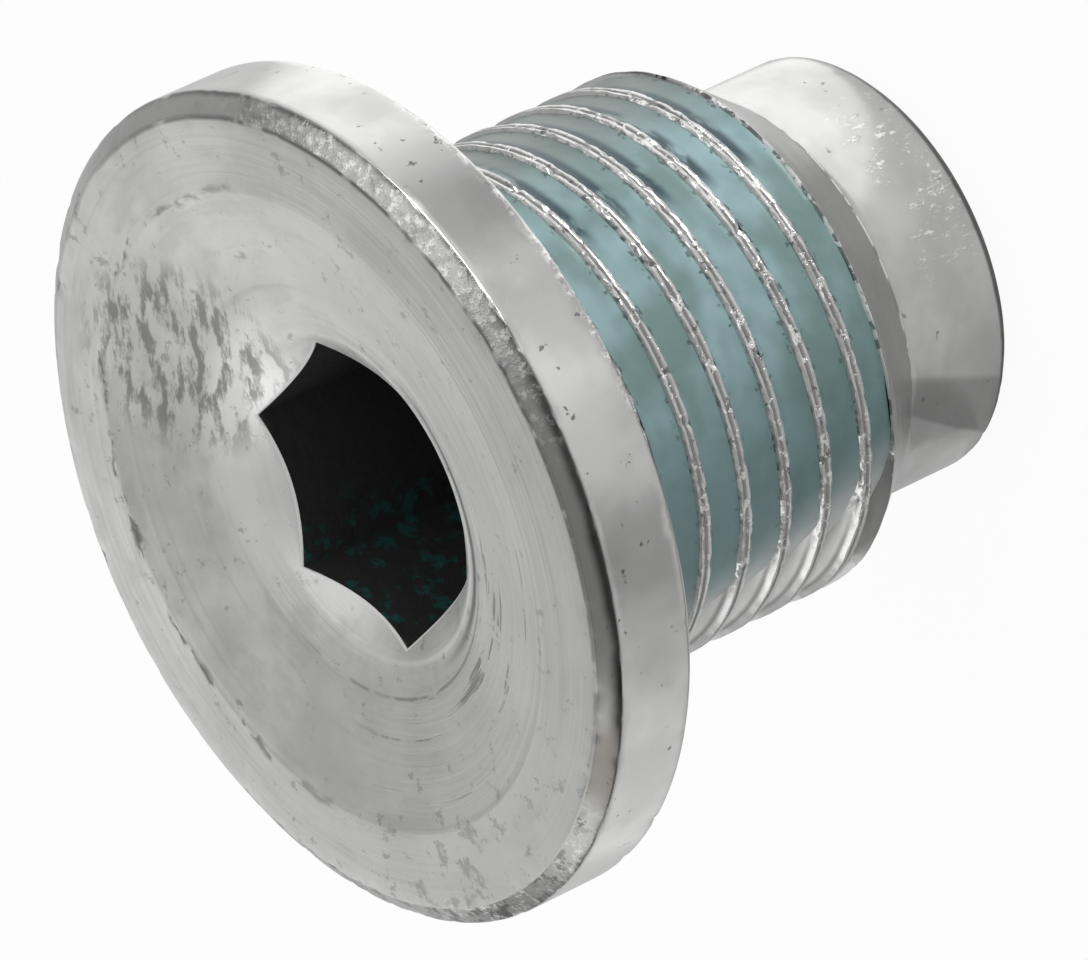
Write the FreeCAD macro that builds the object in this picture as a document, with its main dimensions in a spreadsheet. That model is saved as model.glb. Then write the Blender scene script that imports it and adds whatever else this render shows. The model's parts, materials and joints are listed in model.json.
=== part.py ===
"""Oil drain plug: flange head with a hexagon socket, sealed metric thread and plain pilot.

Lengths are millimetres. The plug stands on the end face of its pilot with the head up. The origin is
the centre of that face, and +Z runs along the axis towards the head.
"""

import FreeCAD, Part

import os

import Sketcher

# Driving dimensions: name, value, meaning. Angles are in degrees.
DIMENSIONS = [
    ("overall_length", 20.3, "pilot end to the rim of the head"),
    ("flange_diameter", 25.0, "outside of the head"),
    ("flange_thickness", 3.05, "rim of the head to the seat behind it"),
    ("rim_chamfer_radial", 0.64, "front edge of the head, across the face"),
    ("rim_chamfer_axial", 0.43, "front edge of the head, along the axis"),
    ("seat_edge_bevel", 0.2, "rear edge of the head"),
    ("land_diameter", 19.2, "inside of the flat ring on the face"),
    ("land_step", 0.08, "step from the flat ring down into the dish"),
    ("dish_diameter", 11.9, "where the shallow dish turns steeper"),
    ("dish_depth", 0.95, "depth of the dish there"),
    ("mouth_diameter", 9.7, "outside of the countersink round the hexagon"),
    ("mouth_depth", 1.35, "depth of the dish at the countersink"),
    ("mouth_angle", 55.0, "countersink, from the axis"),
    ("hexagon_across_flats", 8.0, "key size"),
    ("hexagon_depth", 9.2, "rim of the head to the end of the flats"),
    ("drill_diameter", 7.8, "hole drilled before the hexagon is broached"),
    ("drill_point_angle", 59.0, "drill point, from the axis"),
    ("thread_diameter", 16.0, "major diameter"),
    ("thread_pitch", 1.5, "one turn of the thread"),
    ("thread_foot", 5.9, "pilot end to the full thread"),
    ("relief_diameter", 13.8, "undercut between thread and seat"),
    ("relief_width", 2.8, "undercut between thread and seat"),
    ("relief_slope", 30.0, "thread side of the undercut, from square"),
    ("tool_run_in", 0.563, "start of the thread groove below the cone"),
    ("tool_run_out", 0.1, "gap left between the thread groove and the seat"),
    ("tool_overcut", 0.08, "how far the thread groove's outline clears the crest"),
    ("flank_angle", 30.0, "thread flank, from square"),
    ("pilot_diameter", 12.8, "plain end"),
    ("pilot_length", 3.8, "plain end"),
    ("pilot_edge_bevel", 0.3, "end edge of the plain end"),
    ("sealant_below_crest", 0.15, "crest of the thread down to the sealant"),
    ("patch_direction", 40.0, "middle of the sealed side, about the axis from +X"),
    ("patch_offset", 2.0, "how far the patch's own axis lies towards that side"),
    ("patch_seat_radius", 8.28, "patch about its own axis, at the seat"),
    ("patch_taper", 5.2, "narrowing of the patch towards the pilot"),
]

# Heights and radii that follow from the driving dimensions, as spreadsheet expressions.
FACE = "Sizes.overall_length"
SEAT = "(Sizes.overall_length - Sizes.flange_thickness)"
RELIEF_FOOT = "(Sizes.overall_length - Sizes.flange_thickness - Sizes.relief_width)"
FLANGE_R = "(Sizes.flange_diameter / 2)"
CREST_R = "(Sizes.thread_diameter / 2)"
PILOT_R = "(Sizes.pilot_diameter / 2)"
RELIEF_R = "(Sizes.relief_diameter / 2)"
DRILL_R = "(Sizes.drill_diameter / 2)"
MOUTH_R = "(Sizes.mouth_diameter / 2)"

# Metric thread: 17/24 of the fundamental triangle deep, and 7/8 of the pitch wide at the crest.
THREAD_DEPTH = "(Sizes.thread_pitch * sqrt(3) / 2 * 17 / 24)"
ROOT_R = "(%s - %s)" % (CREST_R, THREAD_DEPTH)
GROOVE_HALF = "(Sizes.thread_pitch * 7 / 16)"
TOOL_START = "(Sizes.pilot_length - Sizes.tool_run_in)"
TOOL_TRAVEL = "(%s - Sizes.tool_run_out - %s - %s)" % (SEAT, GROOVE_HALF, TOOL_START)


def add_sizes(doc):
    """Spreadsheet that holds every driving dimension once."""
    sheet = doc.addObject("Spreadsheet::Sheet", "Sizes")
    for row, (name, value, meaning) in enumerate(DIMENSIONS, start=1):
        sheet.set("A%d" % row, name)
        sheet.set("B%d" % row, str(value))
        sheet.set("C%d" % row, meaning)
        sheet.setAlias("B%d" % row, name)
    doc.recompute()
    return sheet


def add_sketch(body, name, role="XZ_Plane"):
    """Sketch on one of the body's origin planes. On XZ, across is the radius and up the height."""
    sketch = body.newObject("Sketcher::SketchObject", name)
    plane = next(item for item in body.Origin.OriginFeatures if item.Role == role)
    sketch.AttachmentSupport = [(plane, "")]
    sketch.MapMode = "FlatFace"
    return sketch


def hold(sketch, kind, line, value, expression):
    """Hold a line's start at a distance from the origin that follows an expression."""
    number = sketch.addConstraint(Sketcher.Constraint(kind, -1, 1, line, 1, value))
    sketch.setExpression("Constraints[%d]" % number, expression)


def draw_outline(sketch, corners):
    """Closed outline of straight lines. Each corner is a pair of expressions, across and up."""
    places = []
    for across, up in corners:
        place = FreeCAD.Vector(sketch.evalExpression(across), sketch.evalExpression(up), 0)
        places.append(place)
    followers = places[1:] + places[:1]
    for start, end in zip(places, followers):
        sketch.addGeometry(Part.LineSegment(start, end), False)
    for line in range(len(places)):
        follower = (line + 1) % len(places)
        sketch.addConstraint(Sketcher.Constraint("Coincident", line, 2, follower, 1))
    for line, (across, up) in enumerate(corners):
        hold(sketch, "DistanceX", line, places[line].x, across)
        hold(sketch, "DistanceY", line, places[line].y, up)
    return sketch


def turn(body, kind, name, corners):
    """Revolution that adds, or Groove that cuts, an outline turned once round the axis."""
    sketch = draw_outline(add_sketch(body, name + "Outline"), corners)
    feature = body.newObject("PartDesign::" + kind, name)
    feature.Profile = sketch
    feature.ReferenceAxis = (sketch, ["V_Axis"])
    feature.Angle = 360
    body.Document.recompute()
    return feature


def run_helix(body, kind, name, corners):
    """Outline carried up the right-hand thread helix, from its run-in to its run-out."""
    sketch = draw_outline(add_sketch(body, name + "Outline"), corners)
    feature = body.newObject("PartDesign::" + kind, name)
    feature.Profile = sketch
    feature.ReferenceAxis = (sketch, ["V_Axis"])
    feature.Mode = "pitch-height-angle"
    feature.setExpression("Pitch", "Sizes.thread_pitch")
    feature.setExpression("Height", TOOL_TRAVEL)
    body.Document.recompute()
    return feature


def bevel_edge(body, name, radius, height, size):
    """Chamfer on the circular edge of the body's tip that has this radius and height."""
    tip = body.Tip
    wanted_radius = tip.evalExpression(radius)
    wanted_height = tip.evalExpression(height)
    names = []
    for number, edge in enumerate(tip.Shape.Edges, start=1):
        if not isinstance(edge.Curve, Part.Circle):
            continue
        same_radius = abs(edge.Curve.Radius - wanted_radius) < 1e-6
        same_height = abs(edge.Curve.Center.z - wanted_height) < 1e-6
        if same_radius and same_height:
            names.append("Edge%d" % number)
    bevel = body.newObject("PartDesign::Chamfer", name)
    bevel.Base = (tip, names)
    bevel.setExpression("Size", size)
    body.Document.recompute()
    return bevel


def groove_outline(outer_radius):
    """Thread groove from its root out to a radius: a flat root between two sloping flanks."""
    reach = "(%s - %s)" % (CREST_R, outer_radius)
    outer_half = "(%s - %s * tan(Sizes.flank_angle * 1 deg))" % (GROOVE_HALF, reach)
    root_half = "(%s - %s * tan(Sizes.flank_angle * 1 deg))" % (GROOVE_HALF, THREAD_DEPTH)
    return [
        (ROOT_R, TOOL_START + " - " + root_half),
        (outer_radius, TOOL_START + " - " + outer_half),
        (outer_radius, TOOL_START + " + " + outer_half),
        (ROOT_R, TOOL_START + " + " + root_half),
    ]


def turn_blank(body):
    """Bar turned to its outside: pilot, thread-end cone, shank and flange head."""
    rim_foot = FACE + " - Sizes.rim_chamfer_axial"
    rim_inside = FLANGE_R + " - Sizes.rim_chamfer_radial"
    turn(body, "Revolution", "Blank", [
        ("0", "0"),
        (PILOT_R, "0"),
        (PILOT_R, "Sizes.pilot_length"),
        (CREST_R, "Sizes.thread_foot"),
        (CREST_R, SEAT),
        (FLANGE_R, SEAT),
        (FLANGE_R, rim_foot),
        (rim_inside, FACE),
        ("0", FACE),
    ])
    bevel_edge(body, "PilotEdge", PILOT_R, "0", "Sizes.pilot_edge_bevel")
    bevel_edge(body, "SeatEdge", FLANGE_R, SEAT, "Sizes.seat_edge_bevel")


def cut_relief(body):
    """Undercut behind the seat, where the thread runs out."""
    relief_top = "%s + (%s - %s) * tan(Sizes.relief_slope * 1 deg)" % (RELIEF_FOOT, CREST_R, RELIEF_R)
    turn(body, "Groove", "Relief", [
        (RELIEF_R, relief_top),
        (CREST_R, RELIEF_FOOT),
        (CREST_R, SEAT),
        (RELIEF_R, SEAT),
    ])


def cut_socket(body):
    """Dished face, countersink and drilled hole, then the hexagon broached into it."""
    cone_height = "((%s - %s) / tan(Sizes.mouth_angle * 1 deg))" % (MOUTH_R, DRILL_R)
    point_height = "(%s / tan(Sizes.drill_point_angle * 1 deg))" % DRILL_R
    turn(body, "Groove", "Dish", [
        ("0", FACE),
        ("Sizes.land_diameter / 2", FACE),
        ("Sizes.land_diameter / 2", FACE + " - Sizes.land_step"),
        ("Sizes.dish_diameter / 2", FACE + " - Sizes.dish_depth"),
        (MOUTH_R, FACE + " - Sizes.mouth_depth"),
        (DRILL_R, FACE + " - Sizes.mouth_depth - " + cone_height),
        (DRILL_R, FACE + " - Sizes.hexagon_depth"),
        ("0", FACE + " - Sizes.hexagon_depth - " + point_height),
    ])
    sketch = add_sketch(body, "HexagonOutline", "XY_Plane")
    sketch.setExpression("AttachmentOffset.Base.z", FACE)
    draw_hexagon(sketch)
    hexagon = body.newObject("PartDesign::Pocket", "Hexagon")
    hexagon.Profile = sketch
    hexagon.Type = "Length"
    hexagon.setExpression("Length", "Sizes.hexagon_depth")
    body.Document.recompute()


def draw_hexagon(sketch):
    """Regular hexagon about the origin, with one corner on the vertical axis."""
    across_corners = "Sizes.hexagon_across_flats / cos(30 deg)"
    radius = float(sketch.evalExpression(across_corners)) / 2
    start = FreeCAD.Vector(0, radius, 0)
    turn_sixth = FreeCAD.Rotation(FreeCAD.Vector(0, 0, 1), 60)
    sides = range(6)
    for side in sides:
        end = turn_sixth.multVec(start)
        sketch.addGeometry(Part.LineSegment(start, end), False)
        start = end
    ring = sketch.addGeometry(Part.Circle(FreeCAD.Vector(), FreeCAD.Vector(0, 0, 1), radius), True)
    sketch.addConstraint(Sketcher.Constraint("Coincident", ring, 3, -1, 1))
    for side in sides:
        sketch.addConstraint(Sketcher.Constraint("Coincident", side, 2, (side + 1) % 6, 1))
        sketch.addConstraint(Sketcher.Constraint("PointOnObject", side, 1, ring))
    for side in sides[1:]:
        sketch.addConstraint(Sketcher.Constraint("Equal", 0, side))
    sketch.addConstraint(Sketcher.Constraint("PointOnObject", 0, 1, -2))
    number = sketch.addConstraint(Sketcher.Constraint("Diameter", ring, 2 * radius))
    sketch.setExpression("Constraints[%d]" % number, across_corners)


def make_plug_body(doc):
    """One-piece steel plug."""
    body = doc.addObject("PartDesign::Body", "PlugBody")
    body.Label = "plug_body"
    turn_blank(body)
    cut_relief(body)
    cut_socket(body)
    run_helix(body, "SubtractiveHelix", "Thread",
              groove_outline("(%s + Sizes.tool_overcut)" % CREST_R))
    return body


def make_thread_sealant(doc):
    """Cured sealant patch: it fills the thread groove nearly to the crest, on one side of the shank."""
    body = doc.addObject("PartDesign::Body", "ThreadSealant")
    body.Label = "thread_sealant"
    body.AllowCompound = True
    run_helix(body, "AdditiveHelix", "Fill",
              groove_outline("(%s - Sizes.sealant_below_crest)" % CREST_R))
    turn(body, "Groove", "ConeEnd", [
        (PILOT_R, "0"),
        (PILOT_R, "Sizes.pilot_length"),
        (CREST_R, "Sizes.thread_foot"),
        (FLANGE_R, "Sizes.thread_foot"),
        (FLANGE_R, "0"),
    ])
    turn(body, "Groove", "ReliefEnd", [
        ("0", RELIEF_FOOT),
        (FLANGE_R, RELIEF_FOOT),
        (FLANGE_R, FACE),
        ("0", FACE),
    ])
    thin_patch_edges(body)
    return body


def thin_patch_edges(body):
    """Cone about an axis beside the plug's own: outside it the sealant thins out to bare thread."""
    sketch = add_sketch(body, "PatchOutline")
    sketch.AttachmentOffset = FreeCAD.Placement(
        FreeCAD.Vector(), FreeCAD.Rotation(FreeCAD.Vector(0, 1, 0), 1))
    sketch.setExpression("AttachmentOffset.Rotation.Angle", "Sizes.patch_direction * 1 deg")
    seat_reach = "Sizes.patch_offset + Sizes.patch_seat_radius"
    foot_reach = seat_reach + " - %s * tan(Sizes.patch_taper * 1 deg)" % SEAT
    outer_reach = "Sizes.patch_offset + Sizes.flange_diameter"
    draw_outline(sketch, [
        (foot_reach, "0"),
        (outer_reach, "0"),
        (outer_reach, SEAT),
        (seat_reach, SEAT),
    ])
    offset = float(sketch.evalExpression("Sizes.patch_offset"))
    axis = Part.LineSegment(FreeCAD.Vector(offset, 0, 0), FreeCAD.Vector(offset, 1, 0))
    line = sketch.addGeometry(axis, True)
    sketch.addConstraint(Sketcher.Constraint("Vertical", line))
    sketch.addConstraint(Sketcher.Constraint("PointOnObject", line, 1, -1))
    hold(sketch, "DistanceX", line, offset, "Sizes.patch_offset")
    sketch.addConstraint(Sketcher.Constraint("DistanceY", line, 1, line, 2, 1))
    thinning = body.newObject("PartDesign::Groove", "PatchEdges")
    thinning.Profile = sketch
    thinning.ReferenceAxis = (sketch, ["Axis0"])
    thinning.Angle = 360
    body.Document.recompute()


def check(doc, parts):
    """Stop on any failed feature, and on any feature that changes nothing or breaks its solid."""
    for item in doc.Objects:
        if "Invalid" in item.State or "Error" in item.State:
            raise RuntimeError("%s failed: %s" % (item.Name, item.State))
    for part in parts:
        features = [item for item in part.Group if item.isDerivedFrom("PartDesign::Feature")]
        for before, after in zip(features, features[1:]):
            if abs(before.Shape.Volume - after.Shape.Volume) < 1e-6:
                raise RuntimeError("%s changes nothing" % after.Name)
        if part.Shape.isNull() or not part.Shape.isValid():
            raise RuntimeError("%s has no valid shape" % part.Label)


def main():
    doc = FreeCAD.newDocument("OilDrainPlug")
    add_sizes(doc)
    parts = [make_plug_body(doc), make_thread_sealant(doc)]
    doc.recompute()
    check(doc, parts)
    os.makedirs("parts", exist_ok=True)
    for part in parts:
        part.Shape.exportStep("parts/%s.step" % part.Label)
        print(part.Label, "solids", len(part.Shape.Solids), "volume", round(part.Shape.Volume, 3))


main()
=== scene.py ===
import json
import math
import random

import bmesh
import bpy
import numpy as np
from mathutils import Matrix, Vector


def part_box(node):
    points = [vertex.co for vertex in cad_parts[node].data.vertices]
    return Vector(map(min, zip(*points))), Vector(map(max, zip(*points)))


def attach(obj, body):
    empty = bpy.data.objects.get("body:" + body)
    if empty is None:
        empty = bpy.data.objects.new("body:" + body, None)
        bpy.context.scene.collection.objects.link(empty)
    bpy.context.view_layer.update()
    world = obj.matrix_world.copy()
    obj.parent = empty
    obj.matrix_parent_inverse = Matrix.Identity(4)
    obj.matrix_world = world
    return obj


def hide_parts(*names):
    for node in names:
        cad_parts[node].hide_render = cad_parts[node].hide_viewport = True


# Oil drain plug, seen as in the photograph: a turned and zinc plated steel plug with a flange head, a dished
# face, a hexagon socket, a fine thread and a plain pilot, and the cured sealant in its thread.
# Nets of points are laid in millimetres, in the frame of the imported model, and scaled to metres at the end.

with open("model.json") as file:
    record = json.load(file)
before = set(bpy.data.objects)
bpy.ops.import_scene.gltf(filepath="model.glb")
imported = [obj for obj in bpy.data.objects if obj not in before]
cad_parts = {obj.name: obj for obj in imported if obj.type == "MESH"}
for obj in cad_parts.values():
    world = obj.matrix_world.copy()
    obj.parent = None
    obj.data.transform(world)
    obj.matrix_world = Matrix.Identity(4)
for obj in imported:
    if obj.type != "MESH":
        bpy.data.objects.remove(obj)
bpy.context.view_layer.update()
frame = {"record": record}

MM = 0.001
TURN = 2 * math.pi
MOUNTS = {mount["name"]: mount for mount in frame["record"]["mounts"]}
PLUG_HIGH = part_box("plug_body")[1] / MM

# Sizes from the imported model.
FACE = PLUG_HIGH.z
FLANGE_R = PLUG_HIGH.x
SEAT = MOUNTS["seat"]["pos_m"][2] / MM
PILOT_R = MOUNTS["pilot"]["dims"]["r_mm"]
CREST_R = MOUNTS["thread"]["dims"]["r_mm"]

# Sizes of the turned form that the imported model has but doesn't name.
PILOT_LENGTH = 3.8
THREAD_FOOT = 5.9
PITCH = 1.5
ROOT_R = CREST_R - 0.92
CREST_START = 3.987
RELIEF_FOOT = SEAT - 2.8
RELIEF_R = 6.9
RELIEF_SLOPE = math.tan(math.radians(30))
RELIEF_TOP = RELIEF_FOOT + (CREST_R - RELIEF_R) * RELIEF_SLOPE
CHAMFER_ACROSS = 0.64
CHAMFER_DOWN = 0.43
REAR_EDGE = 0.2
PILOT_EDGE = 0.3
LAND_R = 9.6
LAND_STEP_OUT = 0.02
LAND_STEP_IN = 0.18
LAND_STEP_DOWN = 0.08
DISH_R = 5.95
DISH_DEPTH = 0.95
MOUTH_R = 4.85
MOUTH_DEPTH = 1.35
MOUTH_SLOPE = math.tan(math.radians(35))
HEXAGON_FLAT = 4.0
HEXAGON_DEPTH = 9.2
DRILL_R = 3.9
DRILL_POINT = math.tan(math.radians(59))

# Finish of the thread: two rolled ridges with a furrow between them, flanks down to the root, and the trace
# of the groove that the cone keeps.
RIDGE_OUT = 0.135
FURROW = 0.055
FLANK_TOP = (0.19, CREST_R - 0.07)
FLANK_SLOPE = 1.954
CONE_GROOVE = 0.006

# Sealant in the thread: how high it fills the groove, how far it reaches into the flanks and past the
# relief's foot, and the thinnest film that is kept.
FILL_R = 7.83
FILL_OVERLAP = 0.006
FILL_RUN_OUT = 0.4
THINNEST = 0.015

# Sealed side of the shank: the patch is round about an axis that lies beside the plug's own.
SEALED_DIRECTION = math.radians(25)
PATCH_DIRECTION = math.radians(40)
PATCH_OFFSET = 2.0
PATCH_SEAT_R = 8.28
PATCH_TAPER = math.tan(math.radians(5.2))

# Nets: columns round the axis, rows in one pitch and how much they crowd towards the crest, the sealant's
# columns in one turn, the rings at which one finish ends and the next begins, how close the two rings of a
# crisp edge lie, and what counts as one point and as a sharp edge.
COLUMNS = 408
ROWS_PER_PITCH = 16
ROW_CROWDING = 0.55
SEALANT_COLUMNS = 300
LAST_RIM_RING = 39
LAST_COUNTERSINK_RING = 3
CRISP = 0.006
WELD_REACH = 0.003
SHARP_ANGLE = math.radians(38)

# Dents along the edges: how far from the edge they lie, and how wide they are.
DENT_SPREAD = 0.05
DENT_SIZES = (0.08, 0.22)

# Marks on the face: the way that the smudges were wiped, their middle and half sizes, and how far the low
# ring lies off the axis.
WIPED = (0.423, 0.906)
SMUDGE_MIDDLE = (-5.6, 4.4)
SMUDGE_HALF_SIZES = (4.6, 3.6)
LOW_RING_SHIFT = (0.15, 0.32)

# Studio, in metres and watts: lamps as (name, place, size, power), and glowing cards just over the floor as
# (name, middle, half sizes, glow). The cards show only in the plug's reflections. AIR is the light from all
# round. The floor lies a little under the plug, so that no two faces share a plane there.
LAMPS = [
    ("key lamp", (-0.05, 0.20, 0.35), (0.30, 0.30), 0.34),
    ("back lamp", (0.18, 0.36, 0.035), (0.30, 0.06), 1.12),
    ("face lamp", (-0.09, -0.31, 0.26), (0.24, 0.24), 0.26),
    ("fill lamp", (-0.37, -0.17, 0.16), (0.28, 0.28), 0.22),
]
CARDS = [
    ("back card", (-0.012, 0.028), (0.013, 0.016), 1.4),
    ("foot card", (0.001, 0.011), (0.009, 0.0045), 1.25),
    ("right card", (0.040, 0.020), (0.009, 0.010), 1.0),
    ("front card", (0.004, -0.040), (0.016, 0.010), 1.0),
    ("dark back card", (0.017, 0.039), (0.008, 0.012), 0.15),
    ("dark right card", (0.041, -0.016), (0.010, 0.009), 0.15),
    ("dark foot card", (0.012, -0.013), (0.008, 0.0075), 0.26),
    ("low foot card", (-0.001, -0.009), (0.0045, 0.003), 0.5),
]
CARD_HEIGHT = 0.0002
FLOOR_GAP = 0.00002
FLOOR_HALF_SIZE = 1.5
FLOOR_WHITE = 0.94
AIR = 0.46


# Node trees

class Wire:
    """Number that runs through a node tree. Sums and products of wires lay Math nodes."""

    def __init__(self, socket):
        self.socket = socket
        self.tree = socket.id_data

    def math(self, operation, *others):
        return lay(self.tree, "ShaderNodeMath", dict(enumerate((self, *others))), operation=operation)

    def __add__(self, other):
        return self.math("ADD", other)

    def __sub__(self, other):
        return self.math("SUBTRACT", other)

    def __rsub__(self, other):
        return lay(self.tree, "ShaderNodeMath", {0: other, 1: self}, operation="SUBTRACT")

    def __mul__(self, other):
        return self.math("MULTIPLY", other)

    def __truediv__(self, other):
        return self.math("DIVIDE", other)

    def __abs__(self):
        return self.math("ABSOLUTE")

    __radd__ = __add__
    __rmul__ = __mul__


def feed(socket, value):
    """Feed a socket from a wire, or set it to a plain value."""
    if isinstance(value, Wire):
        value.tree.links.new(value.socket, socket)
    else:
        socket.default_value = value


def lay(tree, kind, feeds, output=0, **settings):
    """New node with its settings and inputs. Returns the wire from one of its outputs."""
    node = tree.nodes.new(kind)
    for name, value in settings.items():
        setattr(node, name, value)
    for name, value in feeds.items():
        feed(node.inputs[name], value)
    return Wire(node.outputs[output])


def rise(wire, low, high):
    """0 below low, 1 above high, smooth between; falls instead where low is above high."""
    feeds = {"Value": wire, "From Min": low, "From Max": high}
    return lay(wire.tree, "ShaderNodeMapRange", feeds, interpolation_type="SMOOTHSTEP")


def bump_at(wire, place, width):
    """1 at a place, falling smoothly to 0 a width away on both sides."""
    return rise(abs(wire - place), width, 0.0)


def between(start, end, share):
    """Value a share of the way from start to end."""
    return start + (end - start) * share


def combine(tree, x, y, z):
    return lay(tree, "ShaderNodeCombineXYZ", {"X": x, "Y": y, "Z": z})


def separate(vector):
    node = vector.tree.nodes.new("ShaderNodeSeparateXYZ")
    feed(node.inputs[0], vector)
    return [Wire(output) for output in node.outputs]


def noise(vector, scale, detail=2.0, roughness=0.5):
    feeds = {"Vector": vector, "Scale": scale, "Detail": detail, "Roughness": roughness}
    return lay(vector.tree, "ShaderNodeTexNoise", feeds)


def above_crest(angle, height):
    """Height above the nearest crest of the right-hand thread, below zero on the pilot's side of it."""
    turns = (height - CREST_START) / PITCH - angle / TURN
    return (turns - turns.math("ROUND")) * PITCH


def from_crest(angle, height):
    """Distance along the axis to the nearest crest."""
    return abs(above_crest(angle, height))


def patch_radius(angle, height):
    """Outside of the sealant patch about the plug's axis."""
    reach = PATCH_SEAT_R - (SEAT - height) * PATCH_TAPER
    turned = angle - PATCH_DIRECTION
    across = turned.math("SINE") * PATCH_OFFSET
    along = turned.math("COSINE") * PATCH_OFFSET
    return along + (reach * reach - across * across).math("MAXIMUM", 0.0).math("SQRT")


# Geometry Nodes

def start_geometry(name, sizes):
    """Geometry tree with one named input for each size. Returns the tree and the inputs' wires."""
    tree = bpy.data.node_groups.new(name, "GeometryNodeTree")
    tree.interface.new_socket("Geometry", in_out="OUTPUT", socket_type="NodeSocketGeometry")
    for label, value in sizes.items():
        kind = "NodeSocketInt" if isinstance(value, int) else "NodeSocketFloat"
        tree.interface.new_socket(label, in_out="INPUT", socket_type=kind)
    tree.interface.new_socket("Material", in_out="INPUT", socket_type="NodeSocketMaterial")
    source = tree.nodes.new("NodeGroupInput")
    return tree, {output.name: Wire(output) for output in source.outputs if output.name}


def end_geometry(tree, geometry, material):
    """Realize Instances and Set Material, then the tree's output."""
    real = lay(tree, "GeometryNodeRealizeInstances", {"Geometry": geometry})
    dressed = lay(tree, "GeometryNodeSetMaterial", {"Geometry": real, "Material": material})
    feed(tree.nodes.new("NodeGroupOutput").inputs["Geometry"], dressed)


def grow(tree, sizes, material):
    """Plain mesh that a geometry tree makes with these sizes."""
    seed = bpy.data.objects.new(tree.name, bpy.data.meshes.new(tree.name))
    bpy.context.scene.collection.objects.link(seed)
    modifier = seed.modifiers.new(tree.name, "NODES")
    modifier.node_group = tree
    values = {**sizes, "Material": material}
    for item in tree.interface.items_tree:
        if item.in_out == "INPUT":
            modifier[item.identifier] = values[item.name]
    depsgraph = bpy.context.evaluated_depsgraph_get()
    mesh = bpy.data.meshes.new_from_object(seed.evaluated_get(depsgraph), depsgraph=depsgraph)
    bpy.data.objects.remove(seed)
    return mesh


def lay_grid(tree, inputs, across, along):
    """Grid of points, and its two coordinates counted from zero."""
    feeds = {"Size X": across, "Size Y": along, "Vertices X": inputs["Columns"], "Vertices Y": inputs["Rows"]}
    grid = lay(tree, "GeometryNodeMeshGrid", feeds)
    x, y, _ = separate(lay(tree, "GeometryNodeInputPosition", {}))
    return grid, x + across * 0.5, y + along * 0.5


def place_round(tree, geometry, angle, radius, height):
    """Moves the grid's points to their places round the axis."""
    place = combine(tree, angle.math("COSINE") * radius, angle.math("SINE") * radius, height)
    return lay(tree, "GeometryNodeSetPosition", {"Geometry": geometry, "Position": place})


def hold_row(height, level, reach=0.24, slack=0.075):
    """Rows near a level move onto it, so that the edge there stays crisp."""
    offset = height - level
    distance = abs(offset)
    moved = (distance - slack).math("MAXIMUM", 0.0) * (reach / (reach - slack))
    near = distance.math("LESS_THAN", reach)
    return level + offset.math("SIGN") * between(distance, moved, near)


def sealed_side(angle):
    """1 on the sealed side of the shank, where the crests are rubbed and ragged, 0 on the bare side."""
    return rise((angle - SEALED_DIRECTION).math("COSINE"), 0.25, 0.65)


def thread_radius(angle, height, inputs):
    """Radius of the bare thread: ridges and furrow on the crest, straight flanks, rounded root."""
    place = combine(angle.tree, angle.math("COSINE"), angle.math("SINE"), height / CREST_R)
    apart = from_crest(angle, height)
    ragged = (noise(place, inputs["Ragged scale"], 3.0, 0.6) - 0.5) * rise(apart, 0.4, 0.25)
    ragged = ragged * between(0.25, 1.0, sealed_side(angle))
    apart = apart + ragged * inputs["Ragged edge"]
    inward = apart - RIDGE_OUT
    crest = inputs["Crest radius"] - inward * inward * (FURROW / RIDGE_OUT ** 2)
    flank = FLANK_TOP[1] - (apart - FLANK_TOP[0]) * FLANK_SLOPE
    return crest.math("SMOOTH_MIN", flank, 0.02).math("SMOOTH_MAX", inputs["Root radius"], 0.06)


def cut_thread_tree(sizes):
    """Threaded shank as one net whose rows climb with the thread, from the cone to the relief."""
    tree, inputs = start_geometry("cut thread", sizes)
    length = (inputs["Rows"] - 1) * (PITCH / ROWS_PER_PITCH)
    grid, angle, along = lay_grid(tree, inputs, TURN, length)
    level = along + inputs["First row"]
    phase = (level - CREST_START) * (TURN / PITCH)
    level = level - phase.math("SINE") * (ROW_CROWDING * PITCH / TURN)
    height = level + angle * (PITCH / TURN)
    height = hold_row(hold_row(height, THREAD_FOOT), RELIEF_FOOT)
    height = height.math("MAXIMUM", PILOT_LENGTH).math("MINIMUM", RELIEF_TOP)
    cone_slope = (CREST_R - PILOT_R) / (THREAD_FOOT - PILOT_LENGTH)
    cone = ((height - PILOT_LENGTH) * cone_slope + PILOT_R).math("MINIMUM", CREST_R)
    slope = (RELIEF_FOOT - height) * (1 / RELIEF_SLOPE) + CREST_R
    radius = thread_radius(angle, height, inputs)
    run_in = rise(height, THREAD_FOOT + 0.01, THREAD_FOOT + 0.12) + CONE_GROOVE
    radius = radius.math("MAXIMUM", cone - run_in)
    place = combine(tree, angle.math("COSINE"), angle.math("SINE"), height / CREST_R)
    worn = rise(noise(place, inputs["Wear scale"], 1.0), 0.45, 0.75) * inputs["Wear depth"]
    nicks = rise(noise(place, inputs["Nick scale"], 2.0, 0.6), 0.62, 0.74) * inputs["Nick depth"]
    nicks = nicks * between(0.3, 1.0, sealed_side(angle))
    on_crest = rise(radius, CREST_R - 0.3, CREST_R - 0.02)
    radius = radius - (worn + nicks) * on_crest
    radius = radius.math("MINIMUM", cone).math("MINIMUM", slope).math("MINIMUM", CREST_R)
    end_geometry(tree, place_round(tree, grid, angle, radius, height), inputs["Material"])
    return tree


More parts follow.
